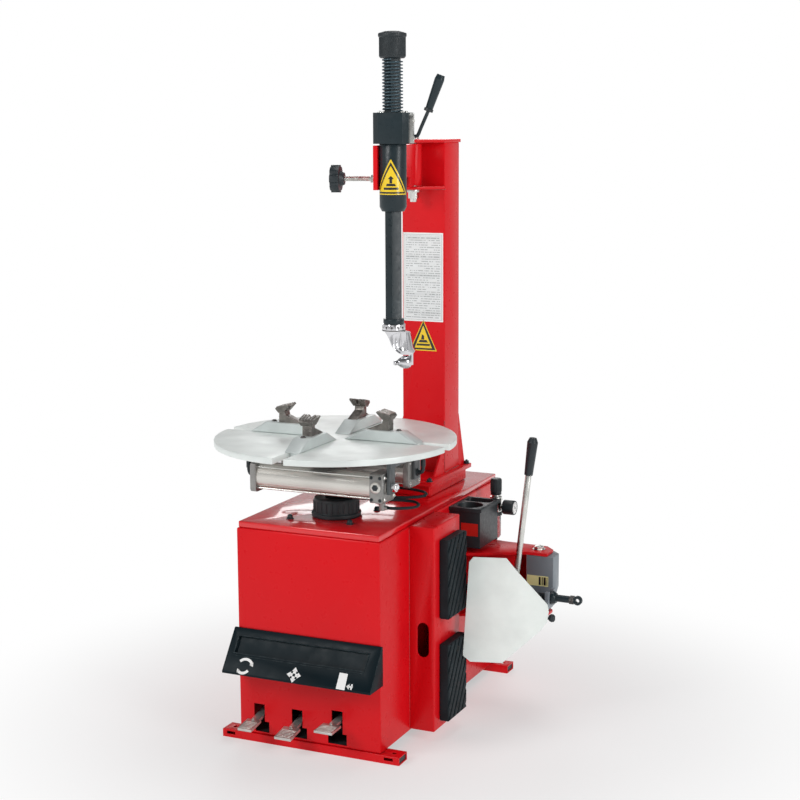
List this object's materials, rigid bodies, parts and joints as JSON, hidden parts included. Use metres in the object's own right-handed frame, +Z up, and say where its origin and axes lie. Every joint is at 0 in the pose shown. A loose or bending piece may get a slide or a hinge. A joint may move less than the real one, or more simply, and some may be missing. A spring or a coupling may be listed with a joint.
{
  "type": "tire changer",
  "caption": "Swing-arm tire changer with a turning clamp table, sprung mounting shaft, side bead breaker with a blade and wheel pads, foot pedals and a tool tray.",
  "frame": {"origin": "on the floor, under the middle of the machine's bounding box", "axes": "+Z up; -Y towards the operator at the pedals; +X towards the side with the bead breaker"},
  "size_m": [0.9388, 1.0158, 1.9205],
  "materials": {
    "red_paint": "glossy powder coat",
    "grey_paint": "satin",
    "black_paint": "satin black",
    "black_plastic": "fine texture",
    "rubber": "matte",
    "zinc_steel": "zinc plated",
    "table_steel": "satin plated, worn",
    "blade_paint": "silver paint",
    "dark_steel": "blackened steel",
    "chrome": "polished",
    "aluminium": "anodised",
    "cast_iron": "as cast",
    "motor_paint": "enamel",
    "clear_plastic": "clear"
  },
  "bodies": {
    "base": {"arm_pivot_bolt": "zinc_steel", "breaker_bracket": "red_paint", "breaker_pin": "zinc_steel", "cabinet_shell": "red_paint", "column": "red_paint", "column_foot": "red_paint", "drive_belt": "rubber", "drive_motor": "motor_paint", "filter_bowl": "clear_plastic", "front_rail": "red_paint", "gearbox_housing": "cast_iron", "lower_wheel_pad": "rubber", "pedal_console": "black_plastic", "pedal_frame": "zinc_steel", "pressure_gauge": "black_plastic", "rear_rail": "red_paint", "regulator_body": "zinc_steel", "shaft_collar_ring": "black_plastic", "tool_tray": "black_plastic", "top_plate": "red_paint", "upper_wheel_pad": "rubber", "wheel_support_box": "red_paint"},
    "turntable": {"turntable": "table_steel", "table_shaft": "dark_steel", "clamp_hose_front": "rubber", "clamp_hose_rear": "rubber"},
    "jaw_right": {"jaw_slide_right": "table_steel", "jaw_right": "dark_steel", "clamp_cylinder_rear": "aluminium", "clamp_rod_front": "chrome"},
    "jaw_left": {"jaw_slide_left": "table_steel", "jaw_left": "dark_steel", "clamp_cylinder_front": "aluminium", "clamp_rod_rear": "chrome"},
    "jaw_front": {"jaw_slide_front": "table_steel", "jaw_front": "dark_steel"},
    "jaw_rear": {"jaw_slide_rear": "table_steel", "jaw_rear": "dark_steel"},
    "swing_arm": {"swing_arm": "red_paint", "shaft_sleeve": "black_paint", "lock_block": "black_paint"},
    "vertical_shaft": {"vertical_shaft": "black_paint", "return_spring": "black_paint", "shaft_cap": "black_plastic", "mount_head": "chrome"},
    "lock_lever": {"lock_lever": "black_paint"},
    "adjusting_knob": {"adjusting_knob": "black_plastic"},
    "head_roller": {"head_roller": "chrome"},
    "pedal_1": {"pedal_1": "zinc_steel"},
    "pedal_2": {"pedal_2": "zinc_steel"},
    "pedal_3": {"pedal_3": "zinc_steel"},
    "breaker_arm": {"breaker_arm": "grey_paint", "breaker_lever": "zinc_steel", "breaker_lever_grip": "black_plastic"},
    "breaker_blade": {"breaker_blade": "blade_paint"},
    "breaker_cylinder": {"breaker_cylinder": "motor_paint"},
    "breaker_rod": {"breaker_rod": "black_paint"},
    "regulator_knob": {"regulator_knob": "black_plastic"},
    "worm_pulley": {"worm_pulley": "cast_iron"},
    "motor_pulley": {"motor_pulley": "cast_iron"}
  },
  "joints": [
    {"name": "table_spin", "type": "hinge", "parent": "base", "child": "turntable", "pos_m": [-0.13825, -0.17675, 0.83], "axis": [0, 0, 1], "continuous": true},
    {"name": "jaw_right_slide", "type": "slide", "parent": "turntable", "child": "jaw_right", "axis": [1, 0, 0], "range_m": [0, 0.075]},
    {"name": "jaw_rear_slide", "type": "slide", "parent": "turntable", "child": "jaw_rear", "axis": [0, 1, 0], "range_m": [0, 0.075]},
    {"name": "jaw_left_slide", "type": "slide", "parent": "turntable", "child": "jaw_left", "axis": [-1, 0, 0], "range_m": [0, 0.075]},
    {"name": "jaw_front_slide", "type": "slide", "parent": "turntable", "child": "jaw_front", "axis": [0, -1, 0], "range_m": [0, 0.075]},
    {"name": "arm_swing", "type": "hinge", "parent": "base", "child": "swing_arm", "pos_m": [-0.07295, 0.20525, 1.57], "axis": [0, 0, 1], "range_deg": [-20, 70]},
    {"name": "shaft_lift", "type": "slide", "parent": "swing_arm", "child": "vertical_shaft", "axis": [0, 0, 1], "range_m": [-0.065, 0.15], "deforming": ["return_spring"]},
    {"name": "lock_lever_turn", "type": "hinge", "parent": "swing_arm", "child": "lock_lever", "pos_m": [0.01827, -0.1282, 1.65], "axis": [0.9646, 0.2639, 0], "range_deg": [-60, 15]},
    {"name": "adjusting_knob_turn", "type": "hinge", "parent": "swing_arm", "child": "adjusting_knob", "pos_m": [-0.05625, -0.15895, 1.5395], "axis": [0.9646, 0.2639, 0], "continuous": true},
    {"name": "head_roller_turn", "type": "hinge", "parent": "vertical_shaft", "child": "head_roller", "pos_m": [0.03601, -0.16274, 1.0518], "axis": [0.6133, 0.7898, 0], "continuous": true},
    {"name": "pedal_1_turn", "type": "hinge", "parent": "base", "child": "pedal_1", "pos_m": [-0.29525, -0.18475, 0.1], "axis": [1, 0, 0], "range_deg": [-6, 6], "stiffness_Nm_per_rad": 80, "springref_deg": -0.46},
    {"name": "pedal_2_turn", "type": "hinge", "parent": "base", "child": "pedal_2", "pos_m": [-0.17825, -0.18475, 0.1], "axis": [1, 0, 0], "range_deg": [0, 7], "stiffness_Nm_per_rad": 40, "springref_deg": -3.44},
    {"name": "pedal_3_turn", "type": "hinge", "parent": "base", "child": "pedal_3", "pos_m": [-0.05625, -0.18475, 0.1], "axis": [1, 0, 0], "range_deg": [0, 8], "stiffness_Nm_per_rad": 40, "springref_deg": -3.44},
    {"name": "breaker_swing", "type": "hinge", "parent": "base", "child": "breaker_arm", "pos_m": [0.30345, 0.24435, 0.375], "axis": [0, 0, 1], "range_deg": [0, 30]},
    {"name": "blade_swivel", "type": "hinge", "parent": "breaker_arm", "child": "breaker_blade", "pos_m": [0.34745, 0.05635, 0.317], "axis": [0, 0, 1], "range_deg": [0, 10]},
    {"name": "breaker_cylinder_swing", "type": "hinge", "parent": "base", "child": "breaker_cylinder", "pos_m": [-0.33625, 0.14025, 0.36], "axis": [0, 0, 1], "range_deg": [0, 4.5]},
    {"name": "breaker_rod_slide", "type": "slide", "parent": "breaker_cylinder", "child": "breaker_rod", "axis": [1, 0, 0], "range_m": [0, 0.062]},
    {"name": "regulator_turn", "type": "hinge", "parent": "base", "child": "regulator_knob", "pos_m": [0.14425, 0.31025, 0.62], "axis": [0, 0, 1], "range_deg": [-150, 150]},
    {"name": "worm_spin", "type": "hinge", "parent": "base", "child": "worm_pulley", "pos_m": [-0.21325, -0.06475, 0.5], "axis": [0, 1, 0], "continuous": true},
    {"name": "motor_spin", "type": "hinge", "parent": "base", "child": "motor_pulley", "pos_m": [-0.21325, -0.06475, 0.25], "axis": [0, 1, 0], "continuous": true}
  ],
  "couplings": [
    {"joint": "jaw_rear_slide", "follows": "jaw_right_slide", "ratio": 1},
    {"joint": "jaw_left_slide", "follows": "jaw_right_slide", "ratio": 1},
    {"joint": "jaw_front_slide", "follows": "jaw_right_slide", "ratio": 1},
    {"joint": "breaker_cylinder_swing", "follows": "breaker_swing", "ratio": 0.1251},
    {"joint": "breaker_rod_slide", "follows": "breaker_swing", "m_per_rad": 0.11},
    {"joint": "worm_spin", "follows": "table_spin", "ratio": 40},
    {"joint": "motor_spin", "follows": "table_spin", "ratio": 75}
  ]
}
